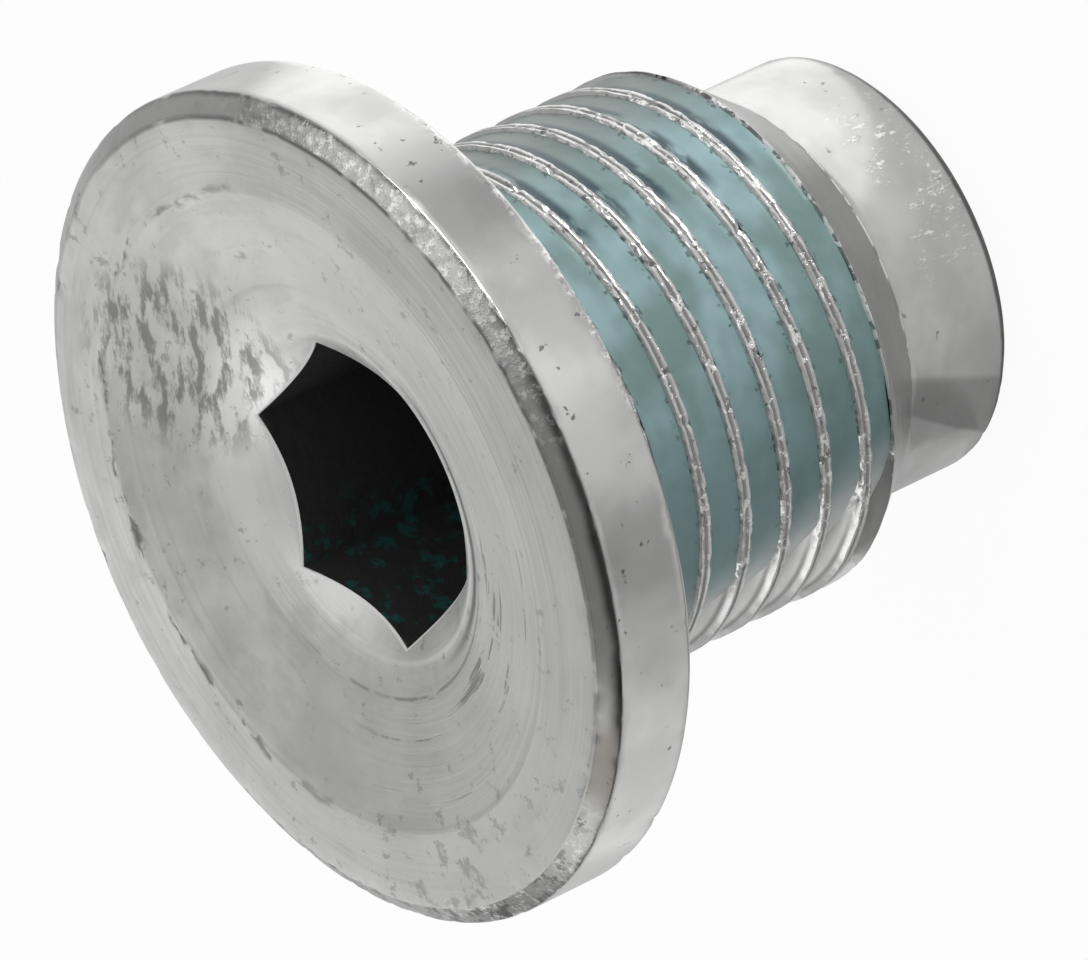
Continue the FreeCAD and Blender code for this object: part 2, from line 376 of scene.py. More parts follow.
def fill_thread_tree(sizes):
    """Sealant as a closed ribbon up the thread groove, thinned out to nothing beside the patch."""
    tree, inputs = start_geometry("fill thread", sizes)
    climb = TURN * (RELIEF_FOOT + FILL_RUN_OUT - inputs["Lowest middle"]) / PITCH
    grid, angle, around = lay_grid(tree, inputs, climb, 2.0)
    middle = inputs["Lowest middle"] + angle * (PITCH / TURN)
    # Around the ribbon, 0 to 1 is its outside and 1 to 2 its underside. Across it, 0 is the middle.
    across = 1.0 - abs(around - 1.0) * 2.0
    edge = abs(across)
    place = combine(tree, angle.math("COSINE"), angle.math("SINE"), middle / CREST_R)
    uneven = noise(place, inputs["Waviness scale"], 3.0, 0.55) - 0.5
    reach = patch_radius(angle, middle) + uneven * inputs["Edge waviness"]
    fill = reach.math("SMOOTH_MIN", inputs["Fill radius"], 0.05)
    fill = fill.math("SMOOTH_MIN", (RELIEF_FOOT + 0.25 - middle) * 2.0 + ROOT_R, 0.05)
    rim = fill + inputs["Climb on the flanks"]
    half = PITCH / 2 - FLANK_TOP[0] - (FLANK_TOP[1] - rim) / FLANK_SLOPE + FILL_OVERLAP
    half = half.math("MAXIMUM", 0.12)
    height = (middle + across * half).math("MAXIMUM", THREAD_FOOT + 0.02)
    apart = PITCH / 2 - abs(height - middle)
    groove = (FLANK_TOP[1] - (apart - FLANK_TOP[0]) * FLANK_SLOPE).math("MAXIMUM", ROOT_R)
    bottom = groove - inputs["Hidden depth"]
    rounded = edge * edge * edge
    top = fill + rounded * inputs["Climb on the flanks"] + uneven * inputs["Waviness"]
    slope = (RELIEF_FOOT - height) * (1 / RELIEF_SLOPE) + CREST_R - 0.02
    top = top.math("MINIMUM", slope)
    started = (middle + half).math("GREATER_THAN", THREAD_FOOT + 0.03)
    depth = (top - bottom) * started
    depth = depth * depth.math("GREATER_THAN", THINNEST)
    beneath = abs(around - 1.5).math("LESS_THAN", 0.4999)
    radius = bottom + depth * (1.0 - beneath)
    inside = depth * edge.math("LESS_THAN", 0.999)
    store = {"Geometry": grid, "Name": "depth", "Value": inside}
    stored = lay(tree, "GeometryNodeStoreNamedAttribute", store, data_type="FLOAT", domain="POINT")
    placed = place_round(tree, stored, angle, radius, height)
    kept = lay(tree, "GeometryNodeInputNamedAttribute", {"Name": "depth"}, data_type="FLOAT")
    bare = {"Geometry": placed, "Selection": kept.math("LESS_THAN", THINNEST / 8)}
    cleared = lay(tree, "GeometryNodeDeleteGeometry", bare, domain="FACE")
    end_geometry(tree, cleared, inputs["Material"])
    return tree


# Turned parts laid as rings

def ring(radius, height):
    """Ring of points round the axis. Radius and height are numbers, or one number for each column."""
    angles = np.arange(COLUMNS) * TURN / COLUMNS
    radius = np.broadcast_to(radius, COLUMNS)
    height = np.broadcast_to(height, COLUMNS)
    return np.stack([radius * np.cos(angles), radius * np.sin(angles), height], axis=1)


def turned_rings(corners):
    """Rings along a turned outline. Each corner is (radius, height, easing of the corner, steps after it)."""
    rings = []
    last = len(corners) - 1
    leave = None
    steps_before = 0
    for number, (radius, height, ease, steps) in enumerate(corners):
        here = np.array([radius, height])
        arrive = here
        depart = here
        if 0 < number < last and ease:
            before = np.array(corners[number - 1][:2]) - here
            after = np.array(corners[number + 1][:2]) - here
            arrive = here + before * ease / np.linalg.norm(before)
            depart = here + after * ease / np.linalg.norm(after)
        if leave is not None:
            for step in range(1, steps_before):
                rings.append(leave + (arrive - leave) * step / steps_before)
        rings.append(arrive)
        if ease:
            rings.append((arrive + 2 * here + depart) / 4)
            rings.append(depart)
        leave = depart
        steps_before = steps
    return [ring(*point) for point in rings]


def hexagon_radius():
    """Distance from the axis to the hexagon's side at each column, with flats facing along X."""
    sixth = TURN / 6
    angles = np.arange(COLUMNS) * TURN / COLUMNS
    off_flat = (angles + sixth / 2) % sixth - sixth / 2
    return HEXAGON_FLAT / np.cos(off_flat)


def pilot_rings():
    """Flat end, eased edge and plain pilot, up to the foot of the cone."""
    return turned_rings([
        (1.2, 0.0, 0, 6),
        (PILOT_R - PILOT_EDGE, 0.0, 0.08, 3),
        (PILOT_R, PILOT_EDGE, 0.08, 16),
        (PILOT_R, PILOT_LENGTH, 0, 0),
    ])


def head_rings():
    """Relief, seat, rim, chamfer, land, dish and countersink, down to the edge of the hexagon."""
    return turned_rings([
        (RELIEF_R, RELIEF_TOP, 0, 4),
        (RELIEF_R, SEAT, 0.1, 8),
        (FLANGE_R - REAR_EDGE, SEAT, 0.05, 2),
        (FLANGE_R, SEAT + REAR_EDGE, 0.06, 12),
        (FLANGE_R, FACE - CHAMFER_DOWN, 0.07, 5),
        (FLANGE_R - CHAMFER_ACROSS, FACE, 0.06, 8),
        (LAND_R + LAND_STEP_OUT, FACE, 0.05, 1),
        (LAND_R - LAND_STEP_IN, FACE - LAND_STEP_DOWN, 0.08, 12),
        (DISH_R, FACE - DISH_DEPTH, 0.25, 4),
        (MOUTH_R, FACE - MOUTH_DEPTH, 0.08, 0),
    ])


def socket_rings():
    """Countersink to the hexagon's scalloped edge, the hexagon's sides, its floor and the drill point."""
    side = hexagon_radius()
    mouth = FACE - MOUTH_DEPTH
    edge = mouth - (MOUTH_R - side) * MOUTH_SLOPE
    rings = []
    for share in (0.35, 0.7, 0.93):
        rings.append(ring(MOUTH_R + (side - MOUTH_R) * share, mouth + (edge - mouth) * share))
    rings.append(ring(side - CRISP, edge - 0.03))
    below = edge - 0.05
    floor = FACE - HEXAGON_DEPTH
    for share in (0.02, 0.1, 0.25, 0.45, 0.7, 1.0):
        rings.append(ring(side, below + (floor - below) * share))
    rings.append(ring(DRILL_R, floor))
    for radius in (3.2, 2.4, 1.6, 0.8):
        rings.append(ring(radius, floor - (DRILL_R - radius) / DRILL_POINT))
    return rings, floor - DRILL_R / DRILL_POINT


def dent(rings, seed, places, depth_range):
    """Presses small dents into rings. Places are ((radius, height, reach), how many, (inward, down))."""
    draw = random.Random(seed)
    points = np.concatenate(rings)
    for place, count, (inward, down) in places:
        for _ in range(count):
            angle = draw.uniform(0, TURN)
            radius = place[0] + draw.uniform(-DENT_SPREAD, DENT_SPREAD)
            height = place[1] + draw.uniform(-place[2], place[2])
            centre = np.array([radius * math.cos(angle), radius * math.sin(angle), height])
            size = draw.uniform(*DENT_SIZES)
            depth = draw.uniform(*depth_range)
            push = np.exp(-((points - centre) ** 2).sum(axis=1) / size ** 2)[:, None] * depth
            points += push * np.array([-math.cos(angle) * inward, -math.sin(angle) * inward, -down])
    return np.split(points, len(rings))


def skin(name, rings, pole=None, pole_first=False):
    """Mesh from rings of points, closed with a fan where it has a pole."""
    count = len(rings)
    points = np.concatenate(rings)
    columns = np.arange(COLUMNS)
    after = (columns + 1) % COLUMNS
    faces = []
    for row in range(count - 1):
        low = row * COLUMNS
        high = low + COLUMNS
        quads = np.stack([low + columns, low + after, high + after, high + columns], axis=1)
        faces.extend(quads.tolist())
    if pole is not None:
        points = np.vstack([points, [0.0, 0.0, pole]])
        tip = len(points) - 1
        start = 0 if pole_first else (count - 1) * COLUMNS
        for column, follower in zip(columns.tolist(), after.tolist()):
            pair = (start + follower, start + column) if pole_first else (start + column, start + follower)
            faces.append([*pair, tip])
    mesh = bpy.data.meshes.new(name)
    mesh.from_pydata(points.tolist(), [], faces)
    return mesh


def weld(name, parts, materials):
    """One closed mesh from several that meet edge to edge, in metres. Parts are (mesh, material name)."""
    names = list(materials)
    joined = bmesh.new()
    for mesh, finish in parts:
        start = len(joined.faces)
        joined.from_mesh(mesh)
        joined.faces.ensure_lookup_table()
        for face in joined.faces[start:]:
            face.material_index = names.index(finish)
        bpy.data.meshes.remove(mesh)
    bmesh.ops.remove_doubles(joined, verts=joined.verts, dist=WELD_REACH)
    bmesh.ops.recalc_face_normals(joined, faces=joined.faces)
    bmesh.ops.scale(joined, vec=(MM, MM, MM), verts=joined.verts)
    mesh = bpy.data.meshes.new(name)
    joined.to_mesh(mesh)
    joined.free()
    for material in materials.values():
        mesh.materials.append(material)
    mesh.shade_smooth()
    mesh.set_sharp_from_angle(angle=SHARP_ANGLE)
    return mesh


def add_piece(name, mesh, node):
    """Finished piece on the plug's body, in place of its CAD node."""
    piece = bpy.data.objects.new(name, mesh)
    bpy.context.scene.collection.objects.link(piece)
    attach(piece, "root")
    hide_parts(node)
    return piece


# Materials

def paint(red, green, blue):
    """Colour written as 0 to 255 screen values, in linear light."""
    def linear(value):
        value = value / 255
        return value / 12.92 if value <= 0.04045 else ((value + 0.055) / 1.055) ** 2.4
    return linear(red), linear(green), linear(blue), 1.0


def grey(value):
    """Neutral colour, written as a 0 to 255 screen value."""
    return paint(value, value, value - 1)


def start_material(name, metallic, roughness):
    """Material with its Principled shader, and the place on the plug in millimetres."""
    material = bpy.data.materials.new(name)
    material.use_nodes = True
    tree = material.node_tree
    shader = tree.nodes["Principled BSDF"]
    shader.inputs["Metallic"].default_value = metallic
    shader.inputs["Roughness"].default_value = roughness
    place = lay(tree, "ShaderNodeTexCoord", {}, output="Object")
    scaled = lay(tree, "ShaderNodeVectorMath", {0: place, "Scale": 1 / MM}, operation="SCALE")
    x, y, z = separate(scaled)
    radius = (x * x + y * y).math("SQRT")
    angle = y.math("ARCTAN2", x)
    return material, shader, {"at": scaled, "x": x, "y": y, "z": z, "radius": radius, "angle": angle}


def mix(start, end, share):
    """Colour between two colours. At least one of the three is a wire."""
    tree = next(value.tree for value in (share, start, end) if isinstance(value, Wire))
    return lay(tree, "ShaderNodeMix", {0: share, 6: start, 7: end}, output=2, data_type="RGBA")


def add_bump(shader, height, distance):
    """Bump on a shader from a height wire; the distance is in millimetres."""
    tree = shader.id_data
    feeds = {"Height": height, "Distance": distance * MM, "Strength": 1.0}
    feed(shader.inputs["Normal"], lay(tree, "ShaderNodeBump", feeds))


def stretched(spot, across, along, up):
    """Place for patterns drawn out round the axis: along is per millimetre of arc at the rim."""
    tree = spot["x"].tree
    turn_x = spot["x"] / spot["radius"] * (FLANGE_R * along)
    turn_y = spot["y"] / spot["radius"] * (FLANGE_R * along)
    return combine(tree, turn_x, turn_y, spot["radius"] * across + spot["z"] * up)


def toward(spot, direction, reach):
    """1 in a direction round the axis, falling to 0 a reach away on both sides. Both are in degrees."""
    turned = (spot["angle"] - math.radians(direction)).math("COSINE")
    return rise(turned, math.cos(math.radians(reach)), 1.0)


def oval(spot, middle, half_sizes):
    """1 well inside an upright oval on the face, 0 outside it."""
    across = (spot["x"] - middle[0]) / half_sizes[0]
    up = (spot["y"] - middle[1]) / half_sizes[1]
    return rise(across * across + up * up, 1.0, 0.25)


def rim_outline(spot):
    """Broken dark line along both edges of the front chamfer."""
    front = bump_at(spot["radius"], FLANGE_R - CHAMFER_ACROSS, 0.12)
    front = front * rise(spot["z"], FACE - 0.15, FACE - 0.05)
    side = bump_at(spot["z"], FACE - CHAMFER_DOWN, 0.12)
    side = side * rise(spot["radius"], FLANGE_R - 0.3, FLANGE_R - 0.15)
    broken = rise(noise(stretched(spot, 0.0, 0.55, 0.0), 1.0, 3.0, 0.6), 0.38, 0.5)
    return front.math("MAXIMUM", side) * broken * toward(spot, 45, 105)


def paint_wear_and_highlights(shader, colour, shade, metallic, marks):
    """Bright marks on the plating, both bare wear and painted highlights: a dull pale grey that shows from
    every side.
    """
    feed(shader.inputs["Metallic"], metallic * (1.0 - marks * 0.7))
    return mix(colour, grey(shade), marks)


def make_faced_steel():
    """Front face: dull plating over faint turning marks, with handling smudges, dashes and arcs."""
    material, shader, spot = start_material("faced steel", 0.7, 0.42)
    at = spot["at"]
    colour = mix(grey(192), grey(208), rise(noise(at, 0.3, 4.0, 0.6), 0.35, 0.65))
    blotches = rise(noise(stretched(spot, 0.9, 0.3, 0.0), 1.0, 3.0, 0.6), 0.5, 0.68)
    colour = mix(colour, grey(168), blotches * 0.35)
    turned = noise(stretched(spot, 2.6, 0.05, 0.0), 1.0, 4.0, 0.6)
    colour = mix(colour, grey(140), rise(turned, 0.55, 0.75) * 0.25)

    # Painted shade: the dish is darker on the side towards 10 degrees.
    painted_dish_shade = toward(spot, 10, 100) * rise(spot["radius"], MOUTH_R + 0.5, DISH_R + 0.8)
    colour = mix(colour, grey(166), painted_dish_shade * 0.6)
    # Painted shade: the inner dish and countersink are darker on the low side, towards -90 degrees.
    low_side = toward(spot, -90, 60) * rise(spot["radius"], MOUTH_R, DISH_R)
    colour = mix(colour, grey(176), low_side * 0.5)
    # Painted highlight: the countersink and inner dish are paler on the side towards 155 degrees.
    painted_inner_highlight = toward(spot, 155, 70) * rise(spot["radius"], DISH_R + 0.6, DISH_R - 0.4)
    colour = mix(colour, grey(236), painted_inner_highlight * 0.7)

    across = spot["x"] * WIPED[1] - spot["y"] * WIPED[0]
    along = spot["x"] * WIPED[0] + spot["y"] * WIPED[1]
    wiped = combine(at.tree, across * 2.3, along * 0.7, 0.0)
    smudges = rise(noise(wiped, 1.0, 4.0, 0.65), 0.46, 0.60) * oval(spot, SMUDGE_MIDDLE, SMUDGE_HALF_SIZES)
    low_land = toward(spot, -75, 45) * rise(spot["radius"], LAND_R - 0.6, LAND_R + 0.4)
    flecks = rise(noise(at, 1.7, 4.0, 0.7) + low_land * 0.07, 0.60, 0.70)
    colour = mix(colour, grey(102), smudges.math("MAXIMUM", flecks * 0.6) * 0.72)

    broken = rise(noise(stretched(spot, 1.2, 0.5, 0.0), 1.0, 3.0, 0.65), 0.48, 0.58)
    wander = (noise(at, 0.5, 2.0) - 0.5) * 1.2
    dashes = bump_at(spot["radius"] + wander, LAND_R + 0.15, 0.2) * broken * toward(spot, 172, 115)
    arcs = rise(noise(stretched(spot, 2.0, 0.07, 0.0), 1.3, 3.0, 0.6), 0.60, 0.66) * toward(spot, -45, 80)
    arcs = arcs * rise(spot["radius"], 5.4, 6.0) * rise(spot["radius"], 9.2, 8.4)
    arcs = arcs * rise(noise(at, 1.4, 3.0, 0.6), 0.42, 0.52)
    facing = toward(spot, -15, 125)
    shifted_x = spot["x"] + LOW_RING_SHIFT[0]
    shifted_y = spot["y"] + LOW_RING_SHIFT[1]
    off_centre = (shifted_x * shifted_x + shifted_y * shifted_y).math("SQRT")
    # Painted shade: a dark ring on the dish's steep inner slope, on the side towards -10 degrees. The low
    # ring off the axis, broken by noise, is a mark.
    ring_line = bump_at(spot["radius"], MOUTH_R + 0.48, 0.26) * toward(spot, -10, 65)
    low_line = bump_at(off_centre, MOUTH_R + 0.75, 0.09) * toward(spot, -80, 75) * 0.6
    ring_line = ring_line.math("MAXIMUM", low_line * rise(noise(at, 0.8, 2.0), 0.38, 0.5))
    marks = dashes.math("MAXIMUM", arcs * 0.7).math("MAXIMUM", ring_line).math("MAXIMUM", rim_outline(spot))
    colour = mix(colour, grey(66), marks * 0.8)

    slant_x = spot["x"] * 0.5
    slant_y = spot["y"] * (math.sqrt(3) / 2)
    to_side = abs(spot["x"]).math("MAXIMUM", abs(slant_x + slant_y)).math("MAXIMUM", abs(slant_x - slant_y))
    # Painted highlights: a bright line round the socket's lip on the side towards -15 degrees, and a bright
    # line along the hexagon's edges that is partly bare wear of the edge.
    lip_highlight = bump_at(spot["radius"], MOUTH_R + 0.12, 0.14) * facing * 0.5
    wear_and_highlights = lip_highlight.math("MAXIMUM", rise(to_side, HEXAGON_FLAT + 0.08, HEXAGON_FLAT + 0.03))
    feed(shader.inputs["Base Color"], paint_wear_and_highlights(shader, colour, 240, 0.7, wear_and_highlights))
    feed(shader.inputs["Roughness"], between(0.36, 0.5, noise(at, 0.6, 3.0)))
    add_bump(shader, turned + marks * -0.6, 0.03)
    return material


def make_rim_steel():
    """Side and back of the head: smooth plating, a scuffed front chamfer with painted shade, and a painted
    highlight on the rear edge.
    """
    material, shader, spot = start_material("rim steel", 0.8, 0.26)
    at = spot["at"]
    side = noise(stretched(spot, 0.3, 0.3, 0.3), 1.0, 3.0, 0.6)
    colour = mix(grey(188), grey(208), rise(side, 0.35, 0.65))
    chamfer = rise(spot["z"], FACE - CHAMFER_DOWN - 0.03, FACE - CHAMFER_DOWN + 0.01)
    scuffs = noise(at, 3.0, 4.0, 0.75)
    scuffed = chamfer * toward(spot, 48, 44)
    colour = mix(colour, grey(162), chamfer)
    colour = mix(colour, grey(104), rise(noise(at, 1.6, 4.0, 0.7), 0.50, 0.66) * chamfer * 0.5)
    uneven = noise(stretched(spot, 1.0, 0.25, 1.0), 1.0, 3.0, 0.6) * 0.3
    # Painted shade: a dark band on the chamfer towards -8 degrees, darkest on its outer part.
    painted_chamfer_shade = toward(spot, -8, 44) * chamfer
    colour = mix(colour, grey(140), painted_chamfer_shade)
    colour = mix(colour, grey(30), painted_chamfer_shade * rise(spot["z"] + uneven, FACE - 0.02, FACE - 0.24))
    # Painted light on the chamfer: lighter towards 112 degrees and darker towards -70 degrees.
    colour = mix(colour, grey(190), toward(spot, 112, 36) * chamfer * 0.7)
    colour = mix(colour, grey(150), toward(spot, -70, 34) * chamfer)
    spots = rise(noise(at, 1.2, 3.0, 0.65), 0.48, 0.56) * toward(spot, -85, 50) * chamfer
    colour = mix(colour, grey(70), spots * 0.8)
    colour = mix(colour, paint(112, 108, 102), toward(spot, -36, 9) * chamfer * 0.9)
    specks = rise(noise(at, 2.2, 3.0, 0.6), 0.67, 0.71)
    colour = mix(colour, grey(84), rim_outline(spot).math("MAXIMUM", specks) * 0.75)
    # Painted highlight along the rear edge, broken by noise, on the side towards 38 degrees. The chamfer's
    # scuffs are bare wear.
    wear_and_highlights = bump_at(spot["z"], SEAT + 0.15, 0.35) * rise(noise(at, 2.1, 4.0, 0.7), 0.48, 0.56)
    wear_and_highlights = wear_and_highlights * rise(spot["radius"], FLANGE_R - 1.0, FLANGE_R - 0.5)
    wear_and_highlights = (wear_and_highlights * toward(spot, 38, 36)).math("MAXIMUM", rise(scuffs, 0.48, 0.64) * scuffed * 0.55)
    low_side = toward(spot, -75, 34) * chamfer
    wear_and_highlights = wear_and_highlights.math("MAXIMUM", rise(scuffs, 0.50, 0.66) * low_side * 0.6)
    feed(shader.inputs["Base Color"], paint_wear_and_highlights(shader, colour, 236, 0.8, wear_and_highlights))
    add_bump(shader, scuffs * scuffed * scuffed * 0.6 + side * 0.2, 0.06)
    return material


def make_thread_steel():
    """Thread: rubbed bright on the crests, with grime beside them. The cone below it is smooth, with painted
    shade on one side and painted light on the other.
    """
    material, shader, spot = start_material("thread steel", 0.8, 0.22)
    at = spot["at"]
    apart = from_crest(spot["angle"], spot["z"])
    colour = mix(grey(188), grey(214), noise(at, 1.2, 3.0))
    on_thread = rise(spot["z"], THREAD_FOOT + 0.05, THREAD_FOOT + 0.15)
    # Painted shade: the cone turns dark towards 98 degrees.
    cone = mix(mix(grey(158), grey(172), noise(at, 0.8, 3.0)), grey(52), toward(spot, 98, 60))
    colour = mix(cone, colour, on_thread)
    sealed = sealed_side(spot["angle"])
    grime = rise(noise(at, 3.2, 3.0, 0.65), 0.52, 0.58) * bump_at(apart, 0.25, 0.12) * sealed
    grime = grime.math("MAXIMUM", rise(noise(at, 2.6, 3.0, 0.7), 0.60, 0.66) * sealed * 0.8)
    grime = grime.math("MAXIMUM", bump_at(apart, 0.27, 0.06) * (1.0 - sealed) * 0.7)
    colour = mix(colour, grey(58), grime * on_thread * 0.85)
    edges = bump_at(spot["z"], THREAD_FOOT, 0.12).math("MAXIMUM", bump_at(spot["z"], PILOT_LENGTH, 0.18))
    wear_and_highlights = edges * rise(noise(at, 1.7, 3.0, 0.6), 0.45, 0.52) * toward(spot, 30, 70)
    bright_spots = rise(noise(at, 2.4, 3.0, 0.7), 0.56, 0.62) * rise(apart, 0.2, 0.12) * on_thread
    wear_and_highlights = wear_and_highlights.math("MAXIMUM", bright_spots * sealed * 0.8)
    # Painted light: the cone is paler on its side towards -62 degrees, where its reflection of the floor is
    # shaded.
    wear_and_highlights = wear_and_highlights.math("MAXIMUM", toward(spot, -62, 36) * (1.0 - on_thread) * 0.5)
    colour = mix(colour, grey(120), bump_at(apart, 0.0, 0.2) * (1.0 - sealed) * on_thread * 0.35)
    colour = mix(colour, grey(104), rise(apart, 0.08, 0.03) * on_thread * 0.5)
    feed(shader.inputs["Base Color"], paint_wear_and_highlights(shader, colour, 236, 0.8, wear_and_highlights))
    feed(shader.inputs["Roughness"], between(0.22, 0.46, (1.0 - sealed) * rise(apart, 0.2, 0.3) * on_thread))
    on_crest = rise(apart, 0.24, 0.18) * on_thread * sealed
    add_bump(shader, noise(at, 3.0, 3.0, 0.6) * on_crest + wear_and_highlights, 0.02)
    return material


def make_pilot_steel():
    """Plain pilot: smooth plating with short fine scratches on one side, a painted dark reflection shaped
    like a facet, a painted dark edge and a few pits.
    """
    material, shader, spot = start_material("pilot steel", 0.7, 0.26)
    at = spot["at"]
    cloud = noise(stretched(spot, 0.4, 0.16, 0.4), 1.0, 3.0, 0.6)
    colour = mix(grey(194), grey(214), rise(cloud, 0.35, 0.65))
    flecks = rise(noise(stretched(spot, 0.0, 2.6, 1.8), 1.0, 4.0, 0.75), 0.54, 0.62)
    flecks = flecks * rise(noise(at, 1.1, 3.0, 0.6), 0.44, 0.54)
    wear_and_highlights = flecks * toward(spot, 32, 32) * rise(bump_at(spot["z"], 1.5, 1.6), 0.0, 0.5)
    # Painted dark reflection, shaped like a facet, on the side towards -50 degrees.
    painted_dark_reflection = rise(spot["angle"] - spot["z"] * 0.06, math.radians(-30), math.radians(-33))
    painted_dark_reflection = painted_dark_reflection * rise(spot["z"] - spot["angle"] * 9.0, 8.6, 8.3) * toward(spot, -50, 60)
    on_side = rise(spot["radius"], PILOT_R - PILOT_EDGE - 0.06, PILOT_R - PILOT_EDGE + 0.02)
    colour = mix(colour, grey(132), painted_dark_reflection * on_side * 0.6)
    # Painted shade: a dark line along the eased end edge, where it reflects the floor's contact shadow.
    outline = rise(spot["z"], 0.44, 0.34) * toward(spot, 8, 100) * on_side
    colour = mix(colour, grey(70), outline * 0.8)
    colour = mix(colour, grey(120), rise(noise(at, 2.3, 2.0), 0.71, 0.76) * 0.7)
    feed(shader.inputs["Base Color"], paint_wear_and_highlights(shader, colour, 236, 0.7, wear_and_highlights * 0.9))
    add_bump(shader, wear_and_highlights + cloud * 0.8, 0.012)
    return material


def make_socket_steel():
    """Inside of the socket: dark grey that paints the shade of the deep recess, with greenish residue low
    down.
    """
    material, shader, spot = start_material("socket steel", 0.3, 0.5)
    residue = rise(noise(spot["at"], 1.3, 4.0, 0.75), 0.52, 0.62) * rise(spot["y"], -0.2, -2.4)
    # Painted shade: the base grey is dark for the shade deep in the recess.
    colour = mix(grey(62), paint(46, 104, 100), residue)
    feed(shader.inputs["Base Color"], colour)
    add_bump(shader, noise(spot["at"], 2.0, 3.0), 0.05)
    return material


def make_sealant():
    """Cured blue-green coating: cloudy, with painted shade beside the crests and on two sides, and pale where
    it thins out.
    """
    material, shader, spot = start_material("sealant", 0.0, 0.36)
    at = spot["at"]
    cloud = noise(stretched(spot, 0.3, 0.14, 0.3), 1.0, 3.0, 0.6)
    colour = mix(paint(106, 131, 129), paint(136, 164, 169), rise(cloud, 0.38, 0.62))
    # Painted shade: darker and greyer towards 98 degrees.
    colour = mix(colour, paint(92, 102, 98), toward(spot, 98, 46))
    above = above_crest(spot["angle"], spot["z"])
    # Painted shadow beside the crests, on the side towards 73 degrees, where the far flank falls into shade.
    deep = rise(above, -0.12, -0.2) * rise(above, -0.75, -0.45) * rise(toward(spot, 73, 34), 0.0, 0.5)
    deep = deep * rise(noise(stretched(spot, 1.0, 0.3, 1.0), 1.0, 3.0, 0.6), 0.38, 0.5)
    colour = mix(colour, paint(24, 54, 64), deep * 0.95)
    apart = abs(above)
    grime = rise(noise(at, 3.4, 3.0, 0.6), 0.58, 0.64) * rise(apart, 0.38, 0.3)
    grime = grime.math("MAXIMUM", rise(apart, 0.25, 0.21) * 0.6)
    colour = mix(colour, paint(52, 66, 68), grime * 0.8)
    # Painted shade: darker towards -25 degrees.
    colour = mix(colour, paint(84, 112, 112), toward(spot, -25, 38) * 0.6)
    film = rise(patch_radius(spot["angle"], spot["z"]), CREST_R - 0.66, CREST_R + 0.2)
    colour = mix(paint(204, 208, 206), colour, film)
    feed(shader.inputs["Base Color"], colour)
    add_bump(shader, noise(at, 1.1, 3.0, 0.5), 0.05)
    return material


# Stage, lights and camera

def add_stage():
    """Floor that is nearly white to the camera and keeps the plug's shadow, and the cards over it."""
    floor = lay_sheet("floor", (0.0, 0.0, -FLOOR_GAP), (FLOOR_HALF_SIZE, FLOOR_HALF_SIZE))
    material = start_flat("floor paint", 0.9)
    tree = material.node_tree
    path = tree.nodes.new("ShaderNodeLightPath")
    seen = Wire(path.outputs["Is Camera Ray"])
    glow = lay(tree, "ShaderNodeEmission", {"Color": (1, 1, 1, 1), "Strength": 1.0})
    painted = Wire(tree.nodes["Principled BSDF"].outputs[0])
    shown = lay(tree, "ShaderNodeMixShader", {0: seen * FLOOR_WHITE, 1: painted, 2: glow})
    feed(tree.nodes["Material Output"].inputs["Surface"], shown)
    floor.data.materials.append(material)
    for name, middle, half_sizes, glow in CARDS:
        card = lay_sheet(name, (*middle, CARD_HEIGHT), half_sizes)
        card_paint = start_flat(name, 0.08)
        shader = card_paint.node_tree.nodes["Principled BSDF"]
        shader.inputs["Emission Color"].default_value = (1, 1, 1, 1)
        shader.inputs["Emission Strength"].default_value = glow
        card.data.materials.append(card_paint)
        card.visible_camera = False
        card.visible_diffuse = False
        card.visible_shadow = False


def start_flat(name, shade):
    """Dull material of one grey."""
    material = bpy.data.materials.new(name)
    material.use_nodes = True
    shader = material.node_tree.nodes["Principled BSDF"]
    shader.inputs["Base Color"].default_value = (shade, shade, shade, 1)
    shader.inputs["Roughness"].default_value = 0.9
    shader.inputs["Specular IOR Level"].default_value = 0.0
    return material


def lay_sheet(name, place, half_sizes):
    """Flat sheet that faces up. Sizes are in metres."""
    x, y, z = place
    wide, deep = half_sizes
    corners = [
        (x - wide, y - deep, z),
        (x + wide, y - deep, z),
        (x + wide, y + deep, z),
        (x - wide, y + deep, z),
    ]
    mesh = bpy.data.meshes.new(name)
    mesh.from_pydata(corners, [], [(0, 1, 2, 3)])
    piece = bpy.data.objects.new(name, mesh)
    bpy.context.scene.collection.objects.link(piece)
    return piece


def add_lamp(name, place, aim, size, power):
    """Soft oblong lamp that faces a point. Places are in metres."""
    lamp = bpy.data.lights.new(name, "AREA")
    lamp.shape = "RECTANGLE"
    lamp.size, lamp.size_y = size
    lamp.energy = power
    piece = bpy.data.objects.new(name, lamp)
    bpy.context.scene.collection.objects.link(piece)
    away = Vector(place) - Vector(aim)
    piece.matrix_world = Matrix.Translation(place) @ away.to_track_quat("Z", "Y").to_matrix().to_4x4()
    return piece


def add_lights():
    """Lamps that face the middle of the plug, and the light from all round, which is white to the camera."""
    middle = (0, 0, 0.01)
    for name, place, size, power in LAMPS:
        add_lamp(name, place, middle, size, power)
    world = bpy.data.worlds.new("studio")
    bpy.context.scene.world = world
    world.use_nodes = True
    tree = world.node_tree
    background = tree.nodes["Background"]
    path = tree.nodes.new("ShaderNodeLightPath")
    seen = Wire(path.outputs["Is Camera Ray"])
    feed(background.inputs["Strength"], between(AIR, 1.0, seen))
    background.inputs["Color"].default_value = (1, 1, 1, 1)


